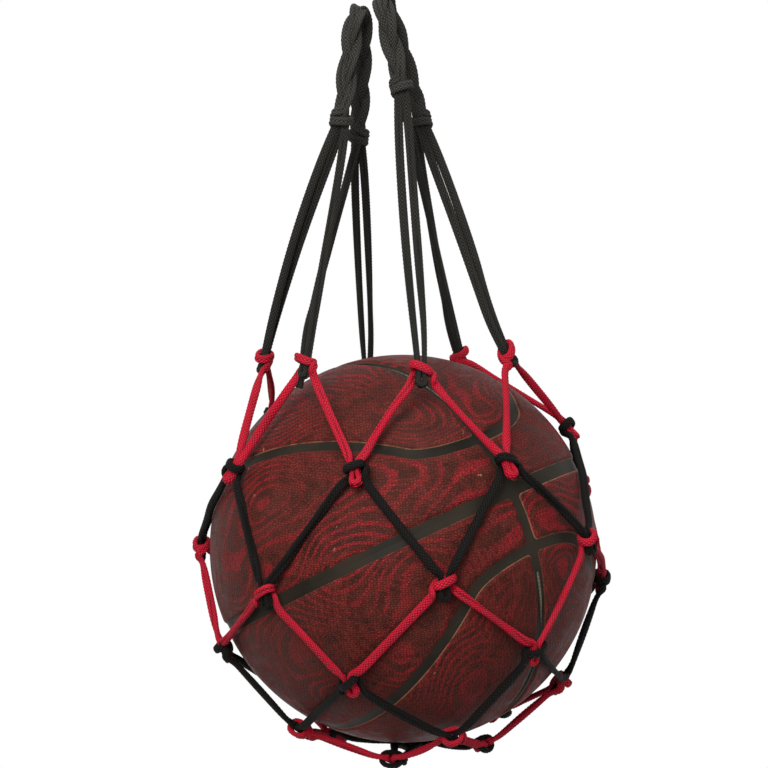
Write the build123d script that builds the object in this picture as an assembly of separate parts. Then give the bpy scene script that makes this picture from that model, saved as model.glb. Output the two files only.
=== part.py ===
from build123d import *
import os
from collections import namedtuple
from math import acos, atan, cos, degrees, radians, sin, tan

# A hand-knotted net bag with two braided handles, hanging by its handles with a ball in it.
# Millimetres and degrees. +Z is up, and -Y is the front. The origin is the hang point, the
# underside of the left handle's loop, straight above the ball's centre.

# Driving dimensions
ball_radius = 121.0  # a full-size ball, 760 round
cord_diameter = 4.8
knot_width = 14.0
knot_height = 12.0
knot_depth = 10.0
hang_drop = 329.0  # from the hang point down to the ball's centre
slack_gap = 0.4  # between pieces of different bodies that lie beside each other

# The ball's own layers, from the outside in
panel_thickness = 2.6
layer_gap = 0.2
channel_thickness = 1.3
carcass_thickness = 2.6
bladder_thickness = 1.2
channel_width = 6.0
valve_radius = 2.3
valve_length = 14.0
junction_azimuth = -52.0  # where the two great channels cross on the front
junction_latitude = 27.0
channel_roll = -6.4
loop_reach = 72.6  # from the pole of a side channel to its far end
loop_side = 45.0  # from the pole to its long side

# The handles
end_knot_radius = 7.5
strand_pitch = 4.5  # from the braid's middle strand to its outer ones
strand_in = 2.4  # how far the middle strand lies inside the braid's middle line
strand_out = 1.5  # how far the outer strands lie outside it
top_bend_radius = 11.0  # of the braid's middle line over the hand
leg_spacing = 5.6  # between the two cords of one leg
third_cord_inward = 5.1  # from an end knot's middle to its third cord
leg_into_end_knot = 5.0  # from an end knot's middle to where its legs end
leg_end_gap = 9.4  # from an anchor knot's middle to where its leg begins

# The net's foot
gather_radius = 11.0
gather_drop = 125.8
mesh_count = 6

cord_radius = cord_diameter / 2
step = 360 / mesh_count
ball_centre = Vector(0, 0, -hang_drop)

# One row of knots: the first knot's azimuth, the row's latitude on the ball and distance from the
# ball's centre, and how far each knot is turned, raised and moved out from that, because the net is
# knotted by hand. Azimuth 0 is +X and 90 is +Y.
KnotRow = namedtuple("KnotRow", "first latitude distance turned raised moved_out")
knot_rows = [
    KnotRow(50, 58, 147, (5, -10, 1, -8, -6, -13), (-4, -8, 0, 5, 2, 1), (-14, -12, 0, 1, 0, 0)),
    KnotRow(20, 34, 127.5, (-10, -6, 2, 5, -4, -13), (-3, -1, 1, -1, 3, 0), (0, 0, 0, 0, 0, 0)),
    KnotRow(50, 5, 127.5, (-28, -15, 3, 0, -10, -20), (5, 1, -2, -2, 1, 2), (0, 0, 0, 0, 0, 0)),
    KnotRow(20, -18, 127.5, (-16, -18, -7, -4, -8, -13), (4, 1, -1, -3, -3, 0), (0, 0, 0, 0, 0, 0)),
    KnotRow(50, -46, 129, (-10, -13, -10, -15, -6, -3), (2, 0, -1, -2, -1, 4), (0, 0, 0, 0, 0, 0)),
    KnotRow(20, -62, 131, (-12, -10, -10, -8, -5, -7), (1, 0, 0, 0, 0, 0), (0, 0, 0, 0, 0, 0)),
]
row_colours = ("red", "black", "red", "black", "red", "black")

# Each handle: its two end knots, from the ball's centre, the top of its braid's middle line, and the
# anchor knots of the top row for the front pair of cords, the shared pair and the rear pair.
Handle = namedtuple("Handle", "name front_knot rear_knot top front_pair shared rear_pair")
handles = [
    Handle("left", (-19, -20, 271), (-10, 20, 257), (-2.5, 0, 334), 2, 3, 1),
    Handle("right", (18, -20, 288), (29, 20, 264), (12.5, 0, 339.4), 4, 0, 5),
]


def from_centre(azimuth, latitude, distance):
    """A place given by its direction and distance from the ball's centre."""
    flat = distance * cos(radians(latitude))
    across = Vector(flat * cos(radians(azimuth)), flat * sin(radians(azimuth)), 0)
    return ball_centre + across + Vector(0, 0, distance * sin(radians(latitude)))


def knot_place(row, index):
    """The middle of one knot of the net."""
    r = knot_rows[row]
    azimuth = r.first + step * index + r.turned[index]
    return from_centre(azimuth, r.latitude + r.raised[index], r.distance + r.moved_out[index])


def tight_route(start, end, start_gap, end_gap):
    """A cord pulled tight between two places: straight runs, and an arc where it lies on the ball."""
    lie = ball_radius + slack_gap + cord_radius
    a = start - ball_centre
    b = end - ball_centre
    a_turn = degrees(acos(lie / a.length))
    b_turn = degrees(acos(lie / b.length))
    if a_turn + b_turn >= a.get_angle(b):
        along = (end - start).normalized()
        return Wire([Edge.make_line(start + along * start_gap, end - along * end_gap)])
    spin = Axis((0, 0, 0), a.cross(b))
    first_touch = a.rotate(spin, a_turn).normalized() * lie
    last_touch = b.rotate(spin, -b_turn).normalized() * lie
    middle = (first_touch + last_touch).normalized() * lie
    touches = [ball_centre + v for v in (first_touch, middle, last_touch)]
    leave = start + (touches[0] - start).normalized() * start_gap
    arrive = end + (touches[2] - end).normalized() * end_gap
    arc = Edge.make_three_point_arc(*touches)
    return Wire([Edge.make_line(leave, touches[0]), arc, Edge.make_line(touches[2], arrive)])


def cord(route):
    """A round cord along a route."""
    section = Plane(origin=route @ 0, z_dir=route % 0) * Circle(cord_radius)
    return sweep(section, path=route)


def straight_cord(start, end, start_gap, end_gap):
    along = (end - start).normalized()
    return cord(Wire([Edge.make_line(start + along * start_gap, end - along * end_gap)]))


def save(name, solids):
    """Writes one node: a solid, or a group of separate solids."""
    shape = solids[0] if len(solids) == 1 else Compound(children=solids)
    export_step(shape, f"parts/{name}.step")


def lower_neighbours(row, index):
    """The two knots of the next row that a knot's cords run down to."""
    if knot_rows[row].first > step / 2:
        return index, (index + 1) % mesh_count
    return (index - 1) % mesh_count, index


def make_net():
    block = fillet(Box(knot_width, knot_height, knot_depth).edges(), 3.9)
    into_knot = 3.6  # a cord starts this far from the knot's middle, inside its wrap
    for row, colour in enumerate(row_colours):
        knots = []
        cords = []
        for index in range(mesh_count):
            place = knot_place(row, index)
            out = (place - ball_centre).normalized()
            across = Vector(0, 0, 1).cross(out)
            knots.append(Plane(origin=place, x_dir=across, z_dir=out) * block)
            for below in lower_neighbours(row, index):
                if row + 1 < len(knot_rows):
                    cords.append(cord(tight_route(place, knot_place(row + 1, below), into_knot, into_knot)))
                else:
                    azimuth = knot_rows[row - 1].first + step * below + knot_rows[row].turned[index]
                    side = 1 if below == index else -1
                    foot = gather_place(azimuth - side * 12)
                    cords.append(straight_cord(place, foot, into_knot, cord_diameter + 0.1))
        save(f"{colour}_knots_row_{row + 1}", knots)
        save(f"{colour}_net_cords_row_{row + 1}", cords)
    ring = Plane(origin=ball_centre - Vector(0, 0, gather_drop)) * Torus(gather_radius, cord_radius)
    save("bottom_gather_cord", [ring])


def gather_place(azimuth):
    """A place on the middle line of the cord that gathers the net's foot."""
    turn = radians(azimuth)
    return ball_centre + Vector(gather_radius * cos(turn), gather_radius * sin(turn), -gather_drop)


def braid_route(handle, aside, inward):
    """One strand's middle line: up from the front end knot, over the hand and down to the rear one."""
    front = ball_centre + Vector(*handle.front_knot)
    rear = ball_centre + Vector(*handle.rear_knot)
    top = ball_centre + Vector(*handle.top)
    level = (rear - front).normalized()
    face = level.cross(top - front).normalized()
    up = face.cross(level)
    flat = Plane(origin=front, x_dir=level, z_dir=face)
    bend = top - up * top_bend_radius
    bend_2d = flat.to_local_coords(bend)
    span = (rear - front).length
    radius = top_bend_radius - inward
    clear = end_knot_radius + slack_gap + 0.5
    runs = []
    for foot_x, side in ((0, 1), (span, -1)):
        to_bend = Vector(bend_2d.X - foot_x, bend_2d.Y, 0)
        reach = (to_bend.length**2 - top_bend_radius**2) ** 0.5
        lean = degrees(acos(reach / to_bend.length))
        along = to_bend.rotate(Axis.Z, side * lean).normalized()
        inner = Vector(along.Y, -along.X, 0) * side
        foot = Vector(foot_x, 0, 0) + inner * inward
        runs.append((foot + along * clear, foot + along * reach))
    crown = Vector(bend_2d.X, bend_2d.Y + radius, 0)
    shift = face * aside
    points = [flat.from_local_coords(p) + shift for p in (*runs[0], crown, runs[1][1], runs[1][0])]
    return Wire(
        [
            Edge.make_line(points[0], points[1]),
            Edge.make_three_point_arc(points[1], points[2], points[3]),
            Edge.make_line(points[3], points[4]),
        ]
    )


def make_handle(handle):
    front = ball_centre + Vector(*handle.front_knot)
    rear = ball_centre + Vector(*handle.rear_knot)
    strands = {"outer": (-strand_pitch, -strand_out), "middle": (0, strand_in), "inner": (strand_pitch, -strand_out)}
    for strand, (aside, inward) in strands.items():
        save(f"{handle.name}_braid_{strand}_strand", [cord(braid_route(handle, aside, inward))])
    save(f"{handle.name}_front_end_knot", [Pos(*front) * Sphere(end_knot_radius)])
    save(f"{handle.name}_rear_end_knot", [Pos(*rear) * Sphere(end_knot_radius)])
    for knot, knot_name, anchor in ((front, "front", handle.front_pair), (rear, "rear", handle.rear_pair)):
        place = knot_place(0, anchor)
        across = Vector(0, 0, 1).cross(place - ball_centre).normalized()
        for number, side in ((1, -1), (2, 1)):
            aside = across * (side * leg_spacing / 2)
            leg = straight_cord(place + aside, knot + aside, leg_end_gap, leg_into_end_knot)
            save(f"{handle.name}_{knot_name}_leg_{number}", [leg])
        # The third cord out of each end knot lies inside that pair, and goes to the shared anchor.
        shared_place = knot_place(0, handle.shared)
        shared_across = Vector(0, 0, 1).cross(shared_place - ball_centre).normalized()
        side = 1 if shared_across.dot(knot * 2 - front - rear) > 0 else -1
        inward = across.cross(Vector(0, 0, 1)) * -third_cord_inward
        foot = shared_place + shared_across * (side * leg_spacing / 2)
        leg = straight_cord(foot, knot + inward, leg_end_gap, leg_into_end_knot)
        save(f"{handle.name}_{knot_name}_shared_leg", [leg])


def ball_frame():
    """A plane at the ball's centre: X through the side channels' pole, -Y through the front junction."""
    junction = from_centre(junction_azimuth, junction_latitude, 1) - ball_centre
    east = Vector(0, 0, 1).cross(junction).normalized()
    north = junction.cross(east)
    pole = north * cos(radians(channel_roll)) + east * sin(radians(channel_roll))
    return Plane(origin=ball_centre, x_dir=pole, z_dir=pole.cross(junction * -1))


def shell(outer, thickness):
    """A hollow ball. It is turned so that the line where its surface meets itself lies along no cut."""
    return Rot(20, 35, 0) * (Sphere(outer) - Sphere(outer - thickness))


def side_cone(side, widen):
    """A cone from the ball's centre whose rim is a side channel's edge, widened by an angle."""
    rim_plane_distance = 1.05 * ball_radius
    top = Plane(origin=(side * rim_plane_distance, 0, 0), x_dir=(0, 1, 0), z_dir=(side, 0, 0))
    reach = rim_plane_distance * tan(radians(loop_reach + widen))
    half_height = rim_plane_distance * tan(radians(loop_side + widen))
    rim = top * SlotOverall(2 * reach, 2 * half_height)
    tiny = 0.02
    start = Plane(origin=(side * rim_plane_distance * tiny, 0, 0), x_dir=(0, 1, 0), z_dir=(side, 0, 0))
    small = start * SlotOverall(2 * reach * tiny, 2 * half_height * tiny)
    return loft([small, rim], ruled=True)


def half_space(side, edge):
    """The half of the ball beyond a great channel, on one side along X."""
    size = 2.2 * ball_radius
    return Pos(side * (edge + size / 2), 0, 0) * Box(size, size, size)


def quarter(side, edge):
    """The half of the ball beyond the other great channel, on one side along Z."""
    size = 2.2 * ball_radius
    return Pos(0, 0, side * (edge + size / 2)) * Box(size, size, size)


def make_ball():
    frame = ball_frame()
    half_channel = channel_width / 2
    half_angle = degrees(atan(half_channel / ball_radius))
    skin = shell(ball_radius, panel_thickness)
    for side, side_name in ((1, "upper"), (-1, "lower")):
        inside = skin & side_cone(side, -half_angle)
        outside = (skin & half_space(side, half_channel)) - side_cone(side, half_angle)
        for half, half_name in ((1, "left"), (-1, "right")):
            oval = inside & quarter(half, half_channel)
            curved = outside & quarter(half, half_channel)
            save(f"ball_{side_name}_{half_name}_oval_panel", [frame * oval.solids()[0]])
            save(f"ball_{side_name}_{half_name}_curved_panel", [frame * curved.solids()[0]])

    valve_axis = Pos(0, ball_radius - valve_length / 2, 0) * Rot(90, 0, 0)
    valve_hole = valve_axis * Cylinder(valve_radius + layer_gap, 2 * valve_length)
    fit = half_channel - layer_gap
    fit_angle = degrees(atan(fit / ball_radius))
    channel_outer = ball_radius - panel_thickness + channel_thickness
    layer = shell(channel_outer, channel_thickness)
    wide = 2.2 * ball_radius
    strips = (layer & Box(2 * fit, wide, wide)) + (layer & Box(wide, wide, 2 * fit))
    for side in (1, -1):
        strips += (layer & side_cone(side, fit_angle)) - side_cone(side, -fit_angle)
    save("ball_channel_strips", [frame * (strips - valve_hole)])

    carcass_outer = ball_radius - panel_thickness - layer_gap
    save("ball_wound_carcass", [frame * (shell(carcass_outer, carcass_thickness) - valve_hole)])
    bladder_outer = carcass_outer - carcass_thickness - layer_gap
    save("ball_bladder", [frame * (shell(bladder_outer, bladder_thickness) - valve_hole)])

    needle_hole = Cylinder(1.0, valve_length + 1)
    stem = valve_axis * (Cylinder(valve_radius, valve_length) - needle_hole)
    save("ball_valve", [frame * (stem & Sphere(channel_outer))])


os.makedirs("parts", exist_ok=True)
make_net()
for one_handle in handles:
    make_handle(one_handle)
make_ball()
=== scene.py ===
import bpy
import math
import numpy as np
from mathutils import Matrix


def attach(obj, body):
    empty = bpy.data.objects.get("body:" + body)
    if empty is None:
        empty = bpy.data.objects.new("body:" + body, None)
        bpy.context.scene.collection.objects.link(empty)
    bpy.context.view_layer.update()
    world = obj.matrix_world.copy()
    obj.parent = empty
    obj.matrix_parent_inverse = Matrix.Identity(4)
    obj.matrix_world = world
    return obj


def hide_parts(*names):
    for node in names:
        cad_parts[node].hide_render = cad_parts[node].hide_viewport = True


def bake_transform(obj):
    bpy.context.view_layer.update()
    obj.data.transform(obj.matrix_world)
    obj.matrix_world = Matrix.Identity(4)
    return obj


# A hand-knotted net bag of flat braided cord with a ball in it, hanging by its two plaited handles.
# Metres. +Z is up, -Y is the front, and the origin is the hang point.

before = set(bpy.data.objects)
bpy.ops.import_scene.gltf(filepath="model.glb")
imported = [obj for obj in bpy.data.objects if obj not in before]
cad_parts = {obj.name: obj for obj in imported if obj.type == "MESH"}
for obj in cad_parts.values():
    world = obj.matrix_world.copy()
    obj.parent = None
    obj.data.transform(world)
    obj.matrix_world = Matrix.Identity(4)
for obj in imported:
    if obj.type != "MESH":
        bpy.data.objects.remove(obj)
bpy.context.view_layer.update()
MM = 0.001


def unit(v):
    v = np.asarray(v, float)
    return v / np.linalg.norm(v)


# ---- The camera ----
view_right = unit((0.99756, -0.01077, -0.06899))
view_forward = unit((-0.00342, 0.97931, -0.20233))
view_up = np.cross(view_right, view_forward)
camera_data = bpy.data.cameras.new("camera")
camera_data.sensor_width = 36
camera_data.lens = 103.8
camera_data.clip_start = 0.05
camera = bpy.data.objects.new("camera", camera_data)
bpy.context.scene.collection.objects.link(camera)
turn = Matrix((view_right, view_up, -view_forward)).transposed().to_4x4()
camera.matrix_world = Matrix.Translation((0, -1.3409, 0.0534)) @ turn
bpy.context.scene.camera = camera

# ---- Sizes, which follow the part ----
ball_centre = np.array((0, 0, -0.329))
ball_radius = 0.121
channel_drop = 1.3 * MM
half_channel = 3.0  # mm, like the other lengths on the ball's surface
cord_half_width = 2.6 * MM
cord_half_thickness = 1.85 * MM
yarns = 8  # bumps of the braid round a cord
yarn_pitch = 2.4  # mm along a cord; real ones are nearer 1.5, and are drawn coarser to show
cord_gap = 0.8 * MM
first_azimuths = (50, 20, 50, 20, 50, 20)
row_colours = ("red", "black", "red", "black", "red", "black")
gather_radius = 11  # mm
gather_drop = 125.8  # mm
gather_turns = (-12, -10, -10, -8, -5, -7)


# ---- Materials ----
def linear(hex_colour):
    """A linear colour from its sRGB hex."""
    parts = [int(hex_colour[i : i + 2], 16) / 255 for i in (0, 2, 4)]
    return [c / 12.92 if c <= 0.04045 else ((c + 0.055) / 1.055) ** 2.4 for c in parts] + [1]


def new_material(name):
    m = bpy.data.materials.new(name)
    m.use_nodes = True
    m.node_tree.nodes.clear()
    out = m.node_tree.nodes.new("ShaderNodeOutputMaterial")
    shader = m.node_tree.nodes.new("ShaderNodeBsdfPrincipled")
    m.node_tree.links.new(shader.outputs[0], out.inputs[0])
    return m, shader


def node(m, kind, settings=None, inputs=None):
    """Adds a node. An input is a value or another node's output."""
    n = m.node_tree.nodes.new("ShaderNode" + kind)
    for key, value in (settings or {}).items():
        setattr(n, key, value)
    fill(m, n, inputs or {})
    return n


def fill(m, n, inputs):
    for key, value in inputs.items():
        if isinstance(value, bpy.types.NodeSocket):
            m.node_tree.links.new(value, n.inputs[key])
        else:
            n.inputs[key].default_value = value


def maths(m, operation, a, b=0.0, c=0.0):
    return node(m, "Math", {"operation": operation}, {0: a, 1: b, 2: c}).outputs[0]


def ramp(m, value, low, high, to_low=0.0, to_high=1.0):
    settings = {"interpolation_type": "SMOOTHSTEP"}
    inputs = {"Value": value, "From Min": low, "From Max": high, "To Min": to_low, "To Max": to_high}
    return node(m, "MapRange", settings, inputs).outputs["Result"]


def mixed(m, amount, a, b):
    return node(m, "Mix", {"data_type": "RGBA"}, {0: amount, 6: a, 7: b}).outputs[2]


def braided_cord(name, dark, light, crease_shade_colour, specular):
    """Flat hollow cord braided from fine polyester yarn: small diamond bumps in slanting rows, with painted
    shade in the gaps between them, and a lengthwise crease, with painted shade along it, where the hollow
    braid folds on itself."""
    m, shader = new_material(name)
    uv = node(m, "UVMap", {"uv_map": "along"}).outputs[0]
    split = node(m, "SeparateXYZ", None, {0: uv})
    around = split.outputs[0]
    along = split.outputs[1]  # mm
    right = maths(m, "MULTIPLY", around, yarns * math.pi)
    left = maths(m, "MULTIPLY", along, math.pi / yarn_pitch)
    a = maths(m, "ABSOLUTE", maths(m, "SINE", maths(m, "ADD", left, right)))
    b = maths(m, "ABSOLUTE", maths(m, "SINE", maths(m, "SUBTRACT", left, right)))
    bumps = maths(m, "MULTIPLY", a, b)
    # Each bump is a bundle of fine filaments.
    filaments = maths(m, "MULTIPLY_ADD", around, 90.0, maths(m, "MULTIPLY", along, 9.0))
    strands = maths(m, "SINE", filaments)
    where = node(m, "TexCoord").outputs["Object"]
    wear = node(m, "TexNoise", None, {"Vector": where, "Scale": 45.0, "Detail": 3.0}).outputs["Fac"]
    fuzz = node(m, "TexNoise", None, {"Vector": where, "Scale": 1400.0, "Detail": 2.0}).outputs["Fac"]
    # Painted shade along the lengthwise crease, broken into dashes by the wear noise.
    off = maths(m, "ABSOLUTE", maths(m, "SUBTRACT", around, 0.25))
    crease = ramp(m, off, 0.01, 0.04, 0.7, 0.0)
    crease = maths(m, "MULTIPLY", crease, ramp(m, wear, 0.42, 0.58))
    # Painted shade: the colour darkens in the gaps between the yarn bumps and lightens on their tops, and
    # the wear noise adds random real wear.
    worn = maths(m, "MULTIPLY_ADD", wear, 0.5, -0.2)
    gap_shade_and_wear = maths(m, "MULTIPLY_ADD", ramp(m, bumps, 0.05, 0.7), 0.85, worn)
    colour = mixed(m, gap_shade_and_wear, linear(dark), linear(light))
    colour = mixed(m, crease, colour, linear(crease_shade_colour))
    height = maths(m, "MULTIPLY_ADD", fuzz, 0.3, maths(m, "MULTIPLY_ADD", strands, 0.12, bumps))
    bump = node(m, "Bump", None, {"Strength": 0.8, "Distance": 0.5 * MM, "Height": height})
    settings = {
        "Base Color": colour,
        "Roughness": ramp(m, wear, 0.3, 0.7, 0.55, 0.7),
        "IOR": 1.5,
        "Specular IOR Level": specular,
        "Normal": bump.outputs[0],
    }
    fill(m, shader, settings)
    return m


# Each cord's colours: the dark one is painted shade in the braid's gaps, then the bumps' tops, then the
# painted shade along the crease.
red_cord = braided_cord("red_braided_polyester", "6E0A15", "D0203A", "45080F", 0.12)
black_cord = braided_cord("black_braided_polyester", "050505", "1C1A18", "030303", 0.06)
# Paler copies of the black cord for the handles and their legs, palest at the plaits: painted light for the
# brighter light up above the ball.
lit_leg_cord = braided_cord("painted_lighter_black_braided_polyester", "0F0F0E", "33322E", "090908", 0.08)
lit_plait_cord = braided_cord("painted_palest_black_braided_polyester", "181816", "3F3E3A", "0D0D0C", 0.1)


def pebbled_composite():
    """Moulded composite cover: pebbles with painted shade in the hollows between them, brighter red bands
    that follow the panels' edges where the colour coat is thicker, a pale line of bare composite at some
    edges."""
    m, shader = new_material("pebbled_moulded_composite")
    where = node(m, "TexCoord").outputs["Object"]
    edge = node(m, "Attribute", {"attribute_name": "edge_mm"}).outputs["Fac"]
    pale = node(m, "Attribute", {"attribute_name": "pale_edge"}).outputs["Fac"]
    # Pebbles are 1.8 mm across, and lie closer one way than the other.
    stretched = node(m, "Mapping", None, {"Vector": where, "Scale": (1.0, 1.0, 1.35)}).outputs[0]
    cell_settings = {"feature": "DISTANCE_TO_EDGE"}
    cells = node(m, "TexVoronoi", cell_settings, {"Vector": stretched, "Scale": 560.0, "Randomness": 0.6})
    pebble = ramp(m, cells.outputs["Distance"], 0.02, 0.3)
    broad = node(m, "TexNoise", None, {"Vector": where, "Scale": 16.0, "Detail": 3.0}).outputs["Fac"]
    fine = node(m, "TexNoise", None, {"Vector": where, "Scale": 120.0, "Detail": 4.0}).outputs["Fac"]
    grain = node(m, "TexNoise", None, {"Vector": where, "Scale": 420.0, "Detail": 3.0}).outputs["Fac"]
    # Nested arcs of brighter red, 5.2 mm apart, follow the panels' edges and waver.
    arcs = node(m, "Attribute", {"attribute_name": "arc_mm"}).outputs["Fac"]
    bent = node(m, "TexNoise", None, {"Vector": where, "Scale": 19.0, "Detail": 0.5}).outputs["Fac"]
    reach = maths(m, "MULTIPLY_ADD", bent, 62.0, arcs)
    reach = maths(m, "MULTIPLY_ADD", grain, 1.8, reach)
    wave = maths(m, "SINE", maths(m, "MULTIPLY", reach, 2 * math.pi / 5.2))
    band = ramp(m, wave, 0.1, 0.75)
    band = maths(m, "MULTIPLY", band, ramp(m, broad, 0.36, 0.58, 0.15, 1.0))
    band = maths(m, "MULTIPLY", band, ramp(m, grain, 0.3, 0.55, 0.35, 1.0))
    colour = mixed(m, ramp(m, fine, 0.3, 0.7), linear("452019"), linear("662A24"))
    colour = mixed(m, maths(m, "MULTIPLY", band, 0.8), colour, linear("97222A"))
    # Painted shade in the hollows between the pebbles.
    pit_shade = ramp(m, cells.outputs["Distance"], 0.02, 0.2, 1.0, 0.0)
    colour = mixed(m, maths(m, "MULTIPLY", pit_shade, 0.7), colour, linear("1C0B0A"))
    fleck_settings = {"Vector": where, "Scale": 260.0, "Detail": 1.0}
    fleck = node(m, "TexNoise", None, fleck_settings).outputs["Fac"]
    flecks = maths(m, "MULTIPLY", ramp(m, fleck, 0.73, 0.79), ramp(m, broad, 0.5, 0.62))
    colour = mixed(m, maths(m, "MULTIPLY", flecks, 0.6), colour, linear("A57F66"))
    dust = node(m, "TexNoise", None, {"Vector": where, "Scale": 9.0, "Detail": 5.0}).outputs["Fac"]
    colour = mixed(m, ramp(m, dust, 0.45, 0.75, 0.0, 0.3), colour, linear("4F3D37"))
    line = maths(m, "MULTIPLY", ramp(m, edge, -0.1, 0.1, 0.0, 0.4), ramp(m, edge, 0.35, 0.7, 1.0, 0.0))
    patchy = maths(m, "MULTIPLY", pale, ramp(m, fine, 0.35, 0.5, 0.45, 1.0))
    line = maths(m, "MULTIPLY", line, patchy)
    colour = mixed(m, line, colour, linear("9C7C5E"))
    height = maths(m, "MULTIPLY_ADD", grain, 0.4, pebble)
    bump = node(m, "Bump", None, {"Strength": 0.8, "Distance": 0.35 * MM, "Height": height})
    settings = {
        "Base Color": colour,
        "Roughness": ramp(m, fine, 0.3, 0.7, 0.42, 0.6),
        "IOR": 1.5,
        "Specular IOR Level": 0.05,
        "Normal": bump.outputs[0],
    }
    fill(m, shader, settings)
    return m


def plain_rubber(name, dark, light, roughness, scale, distance):
    """Moulded rubber: near smooth, with a faint grain and dusty patches that dull its shine."""
    m, shader = new_material(name)
    where = node(m, "TexCoord").outputs["Object"]
    dust = node(m, "TexNoise", None, {"Vector": where, "Scale": 30.0, "Detail": 4.0}).outputs["Fac"]
    grain = node(m, "TexNoise", None, {"Vector": where, "Scale": scale, "Detail": 3.0}).outputs["Fac"]
    bump = node(m, "Bump", None, {"Strength": 0.4, "Distance": distance, "Height": grain})
    settings = {
        "Base Color": mixed(m, ramp(m, dust, 0.35, 0.7), linear(dark), linear(light)),
        "Roughness": ramp(m, dust, 0.3, 0.7, roughness, roughness + 0.15),
        "IOR": 1.52,
        "Specular IOR Level": 0.1,
        "Normal": bump.outputs[0],
    }
    fill(m, shader, settings)
    return m


composite = pebbled_composite()
channel_rubber = plain_rubber("dull_black_channel_rubber", "15120C", "28221A", 0.5, 500.0, 0.15 * MM)
butyl = plain_rubber("smooth_butyl_rubber", "161616", "242424", 0.35, 300.0, 0.1 * MM)
valve_rubber = plain_rubber("soft_valve_rubber", "1C1B1A", "2B2A28", 0.45, 800.0, 0.05 * MM)


def wound_thread():
    """Nylon thread wound in all directions and dipped in latex: fine crossing ridges, dull and tan."""
    m, shader = new_material("latex_dipped_nylon_winding")
    where = node(m, "TexCoord").outputs["Object"]
    one = node(m, "TexWave", None, {"Vector": where, "Scale": 160.0, "Distortion": 2.0})
    turned = node(m, "Mapping", None, {"Vector": where, "Rotation": (0.6, 0.9, 1.1)}).outputs[0]
    two = node(m, "TexWave", None, {"Vector": turned, "Scale": 160.0, "Distortion": 2.0})
    threads = maths(m, "MAXIMUM", one.outputs["Fac"], two.outputs["Fac"])
    bump = node(m, "Bump", None, {"Strength": 0.6, "Distance": 0.3 * MM, "Height": threads})
    settings = {
        "Base Color": mixed(m, threads, linear("7D745F"), linear("C2B89C")),
        "Roughness": 0.6,
        "IOR": 1.5,
        "Normal": bump.outputs[0],
    }
    fill(m, shader, settings)
    return m


winding = wound_thread()


# ---- Building cords ----
def spline(points, closed):
    """Points along a smooth curve that control points lead."""
    points = np.asarray(points, float)
    curve = bpy.data.curves.new("guide", "CURVE")
    curve.dimensions = "3D"
    line = curve.splines.new("NURBS")
    line.points.add(len(points) - 1)
    line.points.foreach_set("co", np.c_[points, np.ones(len(points))].ravel())
    line.order_u = 3
    line.use_cyclic_u = closed
    line.use_endpoint_u = not closed
    line.resolution_u = 10
    curve.resolution_u = 10
    guide = bpy.data.objects.new("guide", curve)
    mesh = bpy.data.meshes.new_from_object(guide)
    found = np.empty(len(mesh.vertices) * 3)
    mesh.vertices.foreach_get("co", found)
    bpy.data.objects.remove(guide)
    bpy.data.curves.remove(curve)
    bpy.data.meshes.remove(mesh)
    return found.reshape(-1, 3)


def evenly(tracks, spacing, closed):
    """The tracks again, at even steps along the first one, and how far along each step is."""
    line = tracks[0]
    if closed:
        tracks = [np.vstack((t, t[:1])) for t in tracks]
        line = tracks[0]
    far = np.r_[0, np.cumsum(np.linalg.norm(np.diff(line, axis=0), axis=1))]
    count = max(int(far[-1] / spacing), 8)
    at = np.linspace(0, far[-1], count, endpoint=not closed)
    again = [np.stack([np.interp(at, far, t[:, k]) for k in range(3)], 1) for t in tracks]
    return again, at, far[-1]


def add_mesh(name, verts, faces, material):
    mesh = bpy.data.meshes.new(name)
    mesh.from_pydata(verts.tolist(), [], faces)
    mesh.polygons.foreach_set("use_smooth", np.ones(len(faces), bool))
    mesh.materials.append(material)
    piece = bpy.data.objects.new(name, mesh)
    bpy.context.scene.collection.objects.link(piece)
    return piece


class Route:
    """Control points of a cord: where it runs, which way its creased face looks, and its section."""

    def __init__(self):
        self.points = []
        self.looks = []
        self.sizes = []

    def add(self, point, look, squeeze=1.0, twist=0.0):
        self.points.append(np.asarray(point, float))
        self.looks.append(unit(look))
        narrow = 1 - (1 - squeeze) * 0.35
        self.sizes.append((cord_half_width * narrow, cord_half_thickness * squeeze, twist * MM))

    def extend(self, other):
        self.points += other.points
        self.looks += other.looks
        self.sizes += other.sizes

    def backwards(self):
        back = Route()
        back.points, back.looks = self.points[::-1], self.looks[::-1]
        back.sizes = [(wide, thick, -twist) for wide, thick, twist in self.sizes[::-1]]
        return back

    def joined(self, shift):
        """The same round trip, but starting and ending at the control point of that number."""
        trip = Route()
        for mine, own in ((trip.points, self.points), (trip.looks, self.looks), (trip.sizes, self.sizes)):
            mine += own[shift:] + own[: shift + 1]
        return trip

    def steady_looks(self):
        """The looks, turned to the cord's other face wherever that is the shorter turn."""
        steady = [self.looks[0]]
        for look in self.looks[1:]:
            steady.append(look if look @ steady[-1] >= 0 else -look)
        return steady


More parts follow.
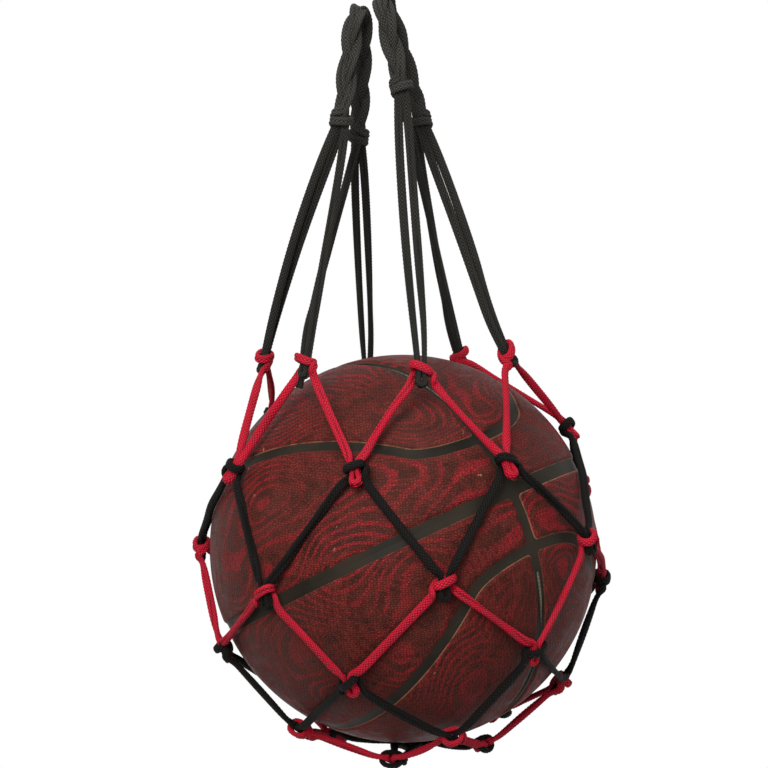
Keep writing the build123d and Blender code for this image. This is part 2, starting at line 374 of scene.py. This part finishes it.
def make_cord(name, route, material, closed=False, around=32, spacing=0.55 * MM):
    """A flat braided cord along a route: an oval tube with a lengthwise crease in one face, and a bump
    for each yarn."""
    tracks = [spline(t, closed) for t in (route.points, route.steady_looks(), route.sizes)]
    (path, look, size), at, length = evenly(tracks, spacing, closed)
    if closed:
        along = np.roll(path, -1, 0) - np.roll(path, 1, 0)
    else:
        along = np.gradient(path, axis=0)
    along /= np.linalg.norm(along, axis=1)[:, None]
    look -= (look * along).sum(1)[:, None] * along
    look /= np.linalg.norm(look, axis=1)[:, None]
    side = np.cross(along, look)
    twist = (size[:, 2] / MM)[:, None]
    face = look * np.cos(twist) + side * np.sin(twist)
    side = side * np.cos(twist) - look * np.sin(twist)
    turns = np.arange(around) / around * 2 * np.pi
    wide = np.sign(np.cos(turns)) * np.abs(np.cos(turns)) ** 0.88
    thick = np.sign(np.sin(turns)) * np.abs(np.sin(turns)) ** 0.88
    thick = thick * (1 - 0.3 * np.exp(-(((turns - np.pi / 2) / 0.25) ** 2)))
    out_wide = size[:, :1] * wide
    out_thick = size[:, 1:2] * thick
    slant = at[:, None] / MM * math.pi / yarn_pitch
    bumps = np.abs(np.sin(slant + turns * yarns / 2) * np.sin(slant - turns * yarns / 2))
    swell = 1 + 0.3 * MM * (bumps - 0.5) / np.hypot(out_wide, out_thick)
    aside = side[:, None] * (out_wide * swell)[..., None]
    above = face[:, None] * (out_thick * swell)[..., None]
    verts = path[:, None] + aside + above
    rings = len(path)
    i = np.arange(rings if closed else rings - 1)[:, None]
    j = np.arange(around)[None, :]
    k = (i + 1) % rings
    n = (j + 1) % around
    squares = np.stack((i * around + j, k * around + j, k * around + n, i * around + n), -1)
    faces = squares.reshape(-1, 4).tolist()
    steps = np.r_[at, length] / MM
    low, high = j / around + 0 * i, (j + 1) / around + 0 * i
    here, there = steps[i] + 0 * j, steps[i + 1] + 0 * j
    uvs = np.stack((low, here, low, there, high, there, high, here), -1).ravel()
    if not closed:
        faces.append(list(range(around)))
        faces.append([(rings - 1) * around + c for c in reversed(range(around))])
        uvs = np.r_[uvs, np.tile((0.5, 0.0), 2 * around)]
    piece = add_mesh(name, verts.reshape(-1, 3), faces, material)
    layer = piece.data.uv_layers.new(name="along")
    layer.data.foreach_set("uv", uvs)
    return piece, path


# ---- The net's knots ----
def knots_of(row):
    """The middles of a row's six knots, from the part's own nodes, in order of azimuth from the first."""
    colour = row_colours[row]
    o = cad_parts[f"{colour}_knots_row_{row + 1}"]
    points = np.array([o.matrix_world @ v.co for v in o.data.vertices])
    azimuth = np.degrees(np.arctan2(points[:, 1], points[:, 0]))
    start = first_azimuths[row] - 45
    azimuth = (azimuth - start) % 360
    order = np.argsort(azimuth)
    cuts = np.sort(np.argsort(np.diff(azimuth[order]))[-5:]) + 1
    groups = np.split(order, cuts)
    return [(points[g].min(0) + points[g].max(0)) / 2 for g in groups]


places = [knots_of(row) for row in range(6)]
# Knots that the ball hides lie closer to it, as the cord's own thickness lets them.
places[0][1] = places[0][1] + np.array((0, 3, -5)) * MM
arm = places[1][2] - ball_centre + np.array((5, 2, 0)) * MM
places[1][2] = ball_centre + unit(arm) * 128 * MM
for hidden in range(4):
    arm = places[5][hidden] - ball_centre
    places[5][hidden] = ball_centre + unit(arm * (0.88, 0.88, 1)) * 127 * MM

# How far each knot leans to one side, in degrees, as a hand pulled it tight.
leans = (
    (6, -8, -5, 8, -4, 24),
    (-10, 6, 9, -7, 12, -5),
    (8, -12, 5, 10, -6, 14),
    (-6, 10, -9, 4, 12, -8),
    (5, -7, 10, -4, 6, -12),
    (-8, 5, 7, -10, 4, 9),
)

# The handles, as in the part
handle_shapes = {
    "left": {
        "front": (-19, -20, 271),
        "rear": (-10, 20, 257),
        "top": (-2.5, 0, 334),
        "anchors": (2, 3, 1),
    },
    "right": {
        "front": (18, -20, 288),
        "rear": (29, 20, 264),
        "top": (12.5, 0, 339.4),
        "anchors": (4, 0, 5),
    },
}
for shape in handle_shapes.values():
    for key in ("front", "rear", "top"):
        shape[key] = ball_centre + np.array(shape[key]) * MM

leg_targets = {}
for shape in handle_shapes.values():
    front_pair, shared, rear_pair = shape["anchors"]
    leg_targets[front_pair] = shape["front"]
    leg_targets[rear_pair] = shape["rear"]
    leg_targets[shared] = (shape["front"] + shape["rear"]) / 2


def lower_neighbours(row, index):
    if first_azimuths[row] > 30:
        return index, (index + 1) % 6
    return (index - 1) % 6, index


def knot_axes(row, index):
    """Right, up and out at a knot. A top knot is pulled between its handle cords and the net."""
    place = places[row][index]
    out = unit(place - ball_centre)
    up = np.cross(out, np.cross((0, 0, 1), out))
    if row == 0:
        below = sum(places[1][k] for k in lower_neighbours(0, index)) / 2
        up = unit(unit(leg_targets[index] - place) + unit(place - below))
    right = unit(np.cross(up, out))
    up = unit(up)
    out = np.cross(right, up)
    lean = math.radians(leans[row][index])
    leant = right * math.cos(lean) + up * math.sin(lean)
    return np.array((leant, np.cross(out, leant), out))


axes = [[knot_axes(row, index) for index in range(6)] for row in range(6)]


def at_knot(row, index, point):
    return places[row][index] + np.array(point) * MM @ axes[row][index]


def look_at_knot(row, index, look):
    return np.array(look, float) @ axes[row][index]


# The wrap, from lower left round the back, across the front, round the back again, and lapped over
# the side of the knot as it leaves. mm.
wrap = (
    (-7.4, -9.4, -0.8),
    (-4.6, -4.4, -2.6),
    (1, -0.8, -3.7),
    (4.6, 1.4, -2.4),
    (5.7, 1.6, 1.2),
    (4.0, 1.2, 4.6),
    (0, 0.4, 5.7),
    (-4.0, -0.4, 4.6),
    (-5.7, 0.4, 1.2),
    (-4.6, 1.6, -2.2),
    (-0.6, 1.4, -3.3),
    (5.2, 1.0, -2.6),
    (8.0, -1.2, 1.0),
    (6.6, -5.4, 3.2),
    (7.6, -10, 0.6),
)
# Another way to tie it: the band slants down into the cord that leaves.
slanted_wrap = (
    (-7.4, -9.4, -0.8),
    (-4.8, -3.2, -2.6),
    (0.5, -1.8, -3.8),
    (4.7, -1.4, -2.4),
    (5.7, -1.8, 1.0),
    (4.4, -1.6, 4.2),
    (0, 0.6, 5.6),
    (-4.4, 2.6, 4.3),
    (-5.9, 2.4, 1.0),
    (-4.6, 1.6, -2.4),
    (-0.4, 0.4, -3.4),
    (4.8, -1.0, -2.8),
    (7.6, -3.4, 0.4),
    (7.0, -6.6, 2.2),
    (7.6, -10, 0.6),
)
# The doubled cord inside the wrap, down one side, round its end and up the other.
bight = (
    (-4.2, 9, -0.2),
    (-2.1, 4, 0.6),
    (-1.7, 0, 0.7),
    (-1.9, -4.2, 1.0),
    (-2.6, -8.0, 1.4),
    (0, -9.8, 1.4),
)


def towards(row, index, target, reach, height):
    """A control point beside a knot on the way to a target, in the knot's own axes."""
    way = (target - places[row][index]) @ axes[row][index].T
    x, y = unit(way[:2]) * reach
    return x, y, height


def add_wrap(route, row, index, left, right):
    """A knot's wrap, on the way from the place on its left to the one on its right."""
    points = list(slanted_wrap if (row + 2 * index) % 5 in (0, 1, 3) else wrap)
    if (row * 3 + index) % 4 in (1, 2):
        points = [(-x, y, z) for x, y, z in reversed(points)]
    points[0] = towards(row, index, left, 11.5, -0.7)
    points[-1] = towards(row, index, right, 11.5, -0.7)
    last = len(points) - 1
    for number, (x, y, z) in enumerate(points):
        inside = 0 < number < last and abs(y) < 7
        look = (-x, 0, 0.7 - z) if inside else (0, 0, 1)
        route.add(at_knot(row, index, (x, y, z)), look_at_knot(row, index, look), 0.84 if inside else 0.95)


def bight_points():
    """The bight's control points with their looks and squeezes, in a knot's own axes."""
    down = []
    for number, (x, y, z) in enumerate(bight[:-1]):
        look, squeeze = ((0, 0, 1), 1.0) if number == 0 else ((-1, 0, 0.25), 0.82)
        down.append(((x, y, z), look, squeeze))
    down[-1] = (down[-1][0], (-1, -0.4, 0.2), 1.05)
    end = [(bight[-1], (0, -1, 0.2), 1.05)]
    up = [((-x, y, z), (-lx, ly, lz), s) for (x, y, z), (lx, ly, lz), s in reversed(down)]
    return down + end + up


def add_bight(route, row, index, left=None, right=None):
    """A knot's doubled cord, on the way from the place on its left above to the one on its right."""
    points = bight_points()
    if left is None:
        points = points[1:-1]
    else:
        points[0] = (towards(row, index, left, 10.5, -0.2), *points[0][1:])
        points[-1] = (towards(row, index, right, 10.5, -0.2), *points[-1][1:])
    for point, look, squeeze in points:
        route.add(at_knot(row, index, point), look_at_knot(row, index, look), squeeze)


def add_leg(route, start, end, bow, twist):
    """Three control points of a cord pulled tight between two knots, on the ball or straight above it."""
    sideways = unit(np.cross(end - start, start - ball_centre))
    for part, share in ((0.25, 0.7), (0.5, 1.0), (0.75, 0.7)):
        point = start + (end - start) * part + sideways * bow * share
        turn = twist * math.sin(math.pi * part)
        half = math.hypot(cord_half_thickness * math.cos(turn), cord_half_width * math.sin(turn))
        lie = ball_radius + cord_gap + half
        arm = point - ball_centre
        if np.linalg.norm(arm) < lie:
            point = ball_centre + unit(arm) * lie
        route.add(point, point - ball_centre, 1.0, turn)


def gather_point(azimuth, radius, drop):
    turn = math.radians(azimuth)
    return ball_centre + np.array((radius * math.cos(turn), radius * math.sin(turn), -drop)) * MM


def add_foot(route, azimuth):
    """A bight that hooks over the cord that gathers the net's foot."""
    for side, radius, drop, look in (
        (-13, 26, 121.8, 1),
        (-13, 18, 124.2, 1),
        (-16, 13, 129.4, 1),
        (-18, 8.0, 129.6, 1),
        (-14, 6.2, 126.0, 0),
        (0, 6.4, 124.2, 0),
        (14, 6.2, 126.0, 0),
        (18, 8.0, 129.6, 1),
        (16, 13, 129.4, 1),
        (13, 18, 124.2, 1),
        (13, 26, 121.8, 1),
    ):
        turn = math.radians(azimuth + side)
        inward = (-math.cos(turn), -math.sin(turn), 0)
        look_to = inward if look == 0 else (0, 0, look)
        route.add(gather_point(azimuth + side, radius, drop), look_to, 0.9)


dice = np.random.RandomState(11)
foot_azimuths = []
for index in range(6):
    turned = (gather_turns[index] + gather_turns[(index + 1) % 6]) / 2
    foot_azimuths.append(first_azimuths[4] + 60 * lower_neighbours(5, index)[1] + turned)

for row in range(6):
    route = Route()
    for index in range(6):
        before, following = (index - 1) % 6, (index + 1) % 6
        bows = dice.uniform(-1.5, 1.5, 2) * MM
        twists = dice.uniform(0.3, 1.9, 2) * dice.choice((-1, 1), 2)
        here, after = places[row][index], places[row][following]
        if row < 5:
            left_below, below = lower_neighbours(row, index)
            place = places[row + 1][below]
            add_wrap(route, row, index, places[row + 1][left_below], place)
            entry = at_knot(row + 1, below, towards(row + 1, below, here, 10.5, -0.2))
            add_leg(route, route.points[-1], entry, bows[0], twists[0])
            add_bight(route, row + 1, below, here, after)
            next_start = at_knot(row, following, towards(row, following, place, 11.5, -0.7))
        else:
            azimuth = foot_azimuths[index]
            entry = gather_point(azimuth - 13, 26, 121.8)
            add_wrap(route, row, index, gather_point(foot_azimuths[before] + 13, 26, 121.8), entry)
            add_leg(route, route.points[-1], entry, bows[0], twists[0])
            add_foot(route, azimuth)
            leave = gather_point(azimuth + 13, 26, 121.8)
            next_start = at_knot(row, following, towards(row, following, leave, 11.5, -0.7))
        add_leg(route, route.points[-1], next_start, bows[1], twists[1])
    colour = row_colours[row]
    material = red_cord if colour == "red" else black_cord
    # Its two ends meet behind the first knot.
    piece, _ = make_cord(f"{colour}_net_cord_{row + 1}", route.joined(2), material)
    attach(piece, "net")
    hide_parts(f"{colour}_knots_row_{row + 1}", f"{colour}_net_cords_row_{row + 1}")

route = Route()
for azimuth in range(0, 360, 15):
    route.add(gather_point(azimuth, gather_radius, gather_drop), (0, 0, -1), 0.9)
piece, _ = make_cord("bottom_gather_braid", route, black_cord, closed=True)
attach(piece, "net")
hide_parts("bottom_gather_cord")


# ---- The handles ----
def braid_line(shape):
    """The middle line of a handle's plait every 2.4 mm, with the directions out of the loop and aside."""
    front = shape["front"]
    level = unit(shape["rear"] - front)
    face = unit(np.cross(level, shape["top"] - front))
    up = np.cross(face, level)
    bend_radius = 11 * MM
    bend = shape["top"] - up * bend_radius
    bend_2d = np.array(((bend - front) @ level, (bend - front) @ up))
    span = np.linalg.norm(shape["rear"] - front)
    feet = []
    for foot_x, side in ((0, 1), (span, -1)):
        to_bend = bend_2d - (foot_x, 0)
        reach = math.sqrt(to_bend @ to_bend - bend_radius**2)
        lean = math.atan2(to_bend[1], to_bend[0]) + side * math.acos(reach / np.linalg.norm(to_bend))
        feet.append(((foot_x, 0), np.array((math.cos(lean), math.sin(lean))), reach))
    line = []
    (foot, along, reach) = feet[0]
    first_touch = np.array(foot) + along * reach
    for share in np.linspace(0, 1, round(reach / (2.4 * MM)))[:-1]:
        line.append((np.array(foot) + along * reach * share, (-along[1], along[0])))
    (foot, along, reach) = feet[1]
    last_touch = np.array(foot) + along * reach
    start, stop = [math.atan2(*(t - bend_2d)[::-1]) for t in (first_touch, last_touch)]
    start %= 2 * math.pi
    for turn in np.linspace(start, stop, 13)[:-1]:
        spoke = np.array((math.cos(turn), math.sin(turn)))
        line.append((bend_2d + spoke * bend_radius, spoke))
    for share in np.linspace(1, 0, round(reach / (2.4 * MM))):
        line.append((np.array(foot) + along * reach * share, (along[1], -along[0])))
    points = np.array([front + level * p[0] + up * p[1] for p, _ in line])
    outs = np.array([level * o[0] + up * o[1] for _, o in line])
    return points, outs, face


plait_period = 72 * MM
plait_half_width = 3.6 * MM
plait_half_depth = 1.9 * MM

for name, shape in handle_shapes.items():
    points, outs, face = braid_line(shape)
    far = np.r_[0, np.cumsum(np.linalg.norm(np.diff(points, axis=0), axis=1))]
    middle = (shape["front"] + shape["rear"]) / 2
    level = unit(shape["rear"] - shape["front"])
    rise = shape["top"] - middle
    rise = unit(rise - level * (rise @ level))
    handle, grip = f"{name}_handle", f"{name}_grip"
    for number, strand in enumerate(("outer", "middle", "inner")):
        route = Route()
        for point, out, distance in zip(points, outs, far):
            near_end = min(distance, far[-1] - distance)
            from_top = abs(distance - far[-1] / 2)
            at_end = 0.45 + 0.55 * min(1, near_end / (16 * MM))
            spread = at_end * (0.55 + 0.45 * min(1, from_top / (16 * MM)))
            phase = 2 * math.pi * (distance / plait_period + number / 3)
            aside = face * plait_half_width * spread * math.sin(phase)
            depth = out * plait_half_depth * spread * math.sin(2 * phase)
            tip = -0.35 * math.cos(phase)
            roll = 0.25 * math.sin(phase * 0.7)
            route.add(point + aside + depth, out + face * tip, 0.72 + 0.14 * spread, roll)
        # The plait's pull spreads its strands flat.
        route.sizes = [(wide * 1.16, thick, twist) for wide, thick, twist in route.sizes]
        piece, _ = make_cord(f"{name}_plait_{strand}", route, lit_plait_cord)
        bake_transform(piece)
        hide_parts(f"{name}_braid_{strand}_strand")

    # Each end knot is one cord that wraps the plait's end and the tops of the legs.
    for end, sign in (("front", 1), ("rear", -1)):
        knot = shape[end]
        anchor = places[0][shape["anchors"][0 if end == "front" else 2]]
        braid_way = unit(points[3] - points[0]) if end == "front" else unit(points[-4] - points[-1])
        up = unit(braid_way + unit(knot - anchor))
        right = unit(face - up * (face @ up))
        out = np.cross(right, up)
        knot_turn = np.array((right, up, out))
        route = Route()
        for x, y, z, look in (
            (-0.5, -6, -1.5, 0),
            (-3.4, -5.0, -3.0, 1),
            (-5.8, -2.4, -0.6, 1),
            (-4.6, -1.0, 4.0, 1),
            (0, -0.2, 5.6, 1),
            (4.8, 0.6, 4.0, 1),
            (6.2, 0.8, 0, 1),
            (4.4, 1.2, -4.0, 1),
            (0, 1.2, -5.4, 1),
            (-4.4, 1.4, -4.0, 1),
            (-6.2, 1.8, -0.4, 1),
            (-4.8, 4.0, 2.0, 1),
            (-1, 5.6, 1.8, 0),
            (1.0, 7.5, 0.2, 0),
        ):
            x = x * sign
            look_to = np.array(((-x, 0, -z) if look else (0, 0, -1)), float) @ knot_turn
            route.add(knot + np.array((x, y, z)) * MM @ knot_turn, look_to, 0.85)
        piece, _ = make_cord(f"{name}_{end}_wrap_knot", route, lit_plait_cord)
        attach(piece, handle)
        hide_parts(f"{name}_{end}_end_knot")


def add_handle_leg(route, knot, foot, offset, look, bow, twist):
    """A cord from an end knot straight down to just above an anchor knot."""
    along = foot - knot
    for part in (0, 0.06, 0.2, 0.4, 0.6, 0.8, 0.93):
        spread = min(1, 0.6 + part * 3) * (1 - part)
        point = knot + along * part + offset * spread + bow * math.sin(math.pi * part)
        turn = twist * math.sin(math.pi * part)
        face_to = look * part**2 + np.array((0, -1, 0)) * (1 - part**2)
        route.add(point, face_to, 0.85 if part < 0.05 else 0.97, turn)


leg_bows = {"left": (-2.8 * MM, 0), "right": (-1.0 * MM, 1.5 * MM)}
for name, shape in handle_shapes.items():
    handle = f"{name}_handle"
    for number, end in enumerate(("front", "rear")):
        anchor, bow = shape["anchors"][2 * number], leg_bows[name][number]
        knot = shape[end]
        right, up, out = axes[0][anchor]
        aside = np.array((1 if right[0] > 0 else -1, 0, 0))
        halves = []
        for side in (-1, 1):
            half = Route()
            foot = at_knot(0, anchor, (side * 2.9, 13, 0.4))
            across = aside * side * 2.7 * MM
            part_bow = np.array((1, 0, 0)) * bow + aside * side * 0.7 * MM
            add_handle_leg(half, knot, foot, across, right * side, part_bow, dice.uniform(0.1, 0.5) * side)
            halves.append(half)
        route = halves[0]
        add_bight(route, 0, anchor)
        route.extend(halves[1].backwards())
        piece, path = make_cord(f"{name}_{end}_cord_pair", route, lit_leg_cord)
        place = places[0][anchor]
        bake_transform(piece)
        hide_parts(f"{name}_{end}_leg_1", f"{name}_{end}_leg_2")

    anchor = shape["anchors"][1]
    right, up, out = axes[0][anchor]
    place = places[0][anchor]
    front_side = -1 if right @ (shape["front"] - shape["rear"]) < 0 else 1
    halves = []
    for end, side in (("front", front_side), ("rear", -front_side)):
        half = Route()
        knot = shape[end]
        own = places[0][shape["anchors"][0 if end == "front" else 2]]
        inward = -unit((own - ball_centre) * (1, 1, 0))
        foot = at_knot(0, anchor, (side * 2.9, 13, 0.4))
        twist = dice.uniform(-1.4, 1.4)
        add_handle_leg(half, knot, foot, inward * 4.4 * MM, right * side, np.zeros(3), twist)
        halves.append((side, half))
    halves.sort(key=lambda pair: pair[0])
    route = halves[0][1]
    add_bight(route, 0, anchor)
    route.extend(halves[1][1].backwards())
    piece, path = make_cord(f"{name}_shared_cord", route, lit_leg_cord)
    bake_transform(piece)
    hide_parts(f"{name}_front_shared_leg", f"{name}_rear_shared_leg")

# The left handle's one cord ends in a short tail out of its shared anchor knot.
route = Route()
tail = ((1, -2, 0.0), (-2, -6, -1.0), (-4.5, -9, -1.6), (-6.5, -12, -2.6), (-7.6, -14.5, -3.4))
for x, y, z in tail:
    route.add(at_knot(0, 3, (x, y, z)), look_at_knot(0, 3, (0.1, 0, 1)), 0.9)
piece, _ = make_cord("left_handle_tail", route, lit_leg_cord)
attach(piece, "net")


# ---- The ball ----
def direction(azimuth, latitude):
    a, b = math.radians(azimuth), math.radians(latitude)
    return np.array((math.cos(b) * math.cos(a), math.cos(b) * math.sin(a), math.sin(b)))


junction = direction(-52, 27)
east = unit(np.cross((0, 0, 1), junction))
north = np.cross(junction, east)
roll = math.radians(-6.4)
pole = north * math.cos(roll) + east * math.sin(roll)
ball_z = np.cross(pole, -junction)
ball_axes = np.array((pole, np.cross(ball_z, pole), ball_z))


def round_grid(count):
    """Directions over a whole sphere in near-even squares, and the squares."""
    steps = np.tan(np.linspace(-math.pi / 4, math.pi / 4, count + 1))
    a, b = np.meshgrid(steps, steps, indexing="ij")
    one = np.ones_like(a)
    sides = ((one, a, b), (-one, b, a), (b, one, a), (a, -one, b), (a, b, one), (b, a, -one))
    points = np.concatenate([np.stack(s, -1).reshape(-1, 3) for s in sides])
    points /= np.linalg.norm(points, axis=1)[:, None]
    corner = np.arange(count)[:, None] * (count + 1) + np.arange(count)
    square = np.stack((corner, corner + count + 1, corner + count + 2, corner + 1), -1).reshape(-1, 4)
    squares = np.concatenate([square + k * (count + 1) ** 2 for k in range(6)])
    _, first, same = np.unique(np.round(points, 6), axis=0, return_index=True, return_inverse=True)
    return points[first], same.reshape(-1)[squares]


def smallest(a, b, soften):
    """The smaller of two distances, rounded where they meet."""
    h = np.clip(0.5 + 0.5 * (b - a) / soften, 0, 1)
    return b * (1 - h) + a * h - soften * h * (1 - h)


def distances(d):
    """How far each direction is from the two great channels and from a side channel, in mm on the
    surface. The side channel's distance is negative inside its loop."""
    great = np.arcsin(np.clip(np.abs(d[:, 0]), 0, 1))
    cross = np.arcsin(np.clip(np.abs(d[:, 2]), 0, 1))
    forward = np.maximum(np.abs(d[:, 0]), 0.02)
    p = np.abs(d[:, 1]) / forward
    q = d[:, 2] / forward
    reach, side = math.tan(math.radians(72.6)), math.tan(math.radians(45))
    straight = reach - side
    past = np.maximum(p - straight, 0)
    ring = np.hypot(past, q)
    far = ring - side
    gp, gq = past / np.maximum(ring, 1e-9), q / np.maximum(ring, 1e-9)
    rho = np.maximum(np.hypot(p, q), 1e-9)
    radial = (gp * p + gq * q) / rho
    across = (gq * p - gp * q) / rho
    slope = np.sqrt((radial * (1 + rho**2)) ** 2 + across**2 * (1 + rho**2))
    scale = ball_radius / MM
    return great * scale, cross * scale, far / slope * scale


grid, squares = round_grid(210)
great, cross, loop = distances(grid)
edge = smallest(smallest(great, cross, 3.0), np.abs(loop), 3.0) - half_channel
arcs = smallest(smallest(great, cross, 30.0), np.abs(loop), 30.0)
world = grid @ ball_axes
shoulder = 2.6
depth = np.where(edge < shoulder, np.clip((shoulder - edge) / shoulder, 0, 1.45) ** 2.0, 0) * channel_drop

cad_panels = {}
for node_name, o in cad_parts.items():
    if node_name.startswith("ball_") and node_name.endswith("_panel"):
        middle = np.mean([o.matrix_world @ v.co for v in o.data.vertices], axis=0) - ball_centre
        local = ball_axes @ middle
        cad_panels[node_name] = (local[0] > 0, local[2] > 0, "oval" in node_name)

face_edge = edge[squares].min(1)
middles = grid[squares].mean(1)
is_oval = loop[squares].mean(1) < 0
for node_name, (upper, left, oval) in cad_panels.items():
    side = ((middles[:, 0] > 0) == upper) & ((middles[:, 2] > 0) == left)
    keep = (face_edge > -1.1) & side & (is_oval == oval)
    used, again = np.unique(squares[keep], return_inverse=True)
    points = ball_centre + world[used] * (ball_radius - depth[used])[:, None]
    piece = add_mesh(node_name.replace("_panel", "_cover"), points, again.reshape(-1, 4).tolist(), composite)
    pale = np.full(len(used), 1.0 if oval == left else 0.15)
    for label, values in (("edge_mm", edge[used]), ("arc_mm", arcs[used]), ("pale_edge", pale)):
        layer = piece.data.attributes.new(label, "FLOAT", "POINT")
        layer.data.foreach_set("value", values.astype(np.float32))
    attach(piece, "ball")
    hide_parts(node_name)

# The channels lie under the panels' rounded edges, with a dimple round the valve.
keep = edge[squares].max(1) < 2.6
used, again = np.unique(squares[keep], return_inverse=True)
from_valve = np.linalg.norm(grid[used] - (0, 1, 0), axis=1) * ball_radius
dimple = np.clip((3.5 * MM - from_valve) / (1.1 * MM), 0, 1) * 0.6 * MM
hollow = np.clip(1 - (edge[used] + half_channel) / half_channel, 0, 1) * 0.25 * MM
points = ball_centre + world[used] * (ball_radius - channel_drop - dimple - hollow)[:, None]
piece = add_mesh("ball_channel_inlay", points, again.reshape(-1, 4).tolist(), channel_rubber)
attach(piece, "ball")
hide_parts("ball_channel_strips")

inside = (("ball_wound_carcass", winding), ("ball_bladder", butyl), ("ball_valve", valve_rubber))
for node_name, material in inside:
    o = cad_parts[node_name]
    o.data.materials.clear()
    o.data.materials.append(material)


# ---- Light ----
def softbox(name, place, target, size, power, colour="FFFFFF"):
    data = bpy.data.lights.new(name, "AREA")
    data.shape = "RECTANGLE"
    data.size, data.size_y = size
    data.energy = power
    data.color = linear(colour)[:3]
    light = bpy.data.objects.new(name, data)
    bpy.context.scene.collection.objects.link(light)
    z = unit(np.array(place) - np.array(target))
    x = unit(np.cross((0, 0, 1), z))
    light.matrix_world = Matrix.Translation(place) @ Matrix((x, np.cross(z, x), z)).transposed().to_4x4()


softbox("handles", (-0.1, -0.75, 0.45), (0, 0, -0.04), (0.3, 0.3), 4.5)
softbox("key", (-0.45, -1.45, 0.55), (0, 0, -0.3), (0.8, 0.8), 23, "FFFBF5")
softbox("fill", (1.2, -1.1, 0.1), (0, 0, -0.3), (1.0, 1.2), 6, "F6F9FF")
softbox("top", (0.1, 0.1, 1.2), (0, 0, -0.2), (0.9, 0.9), 9)

world_data = bpy.data.worlds.new("studio")
world_data.use_nodes = True
tree = world_data.node_tree
tree.nodes.clear()
output = tree.nodes.new("ShaderNodeOutputWorld")
seen = tree.nodes.new("ShaderNodeBackground")
ambient = tree.nodes.new("ShaderNodeBackground")
seen.inputs[0].default_value = (1, 1, 1, 1)
ambient.inputs[0].default_value = (0.95, 0.97, 1, 1)
ambient.inputs[1].default_value = 0.22
path_node = tree.nodes.new("ShaderNodeLightPath")
add_one = tree.nodes.new("ShaderNodeMath")
add_two = tree.nodes.new("ShaderNodeMath")
add_one.operation = add_two.operation = "MAXIMUM"
choose = tree.nodes.new("ShaderNodeMixShader")
tree.links.new(path_node.outputs["Is Camera Ray"], add_one.inputs[0])
tree.links.new(path_node.outputs["Is Glossy Ray"], add_one.inputs[1])
tree.links.new(add_one.outputs[0], add_two.inputs[0])
tree.links.new(path_node.outputs["Is Transmission Ray"], add_two.inputs[1])
tree.links.new(add_two.outputs[0], choose.inputs[0])
tree.links.new(ambient.outputs[0], choose.inputs[1])
tree.links.new(seen.outputs[0], choose.inputs[2])
tree.links.new(choose.outputs[0], output.inputs[0])
bpy.context.scene.world = world_data
bpy.context.scene.view_settings.view_transform = "Standard"
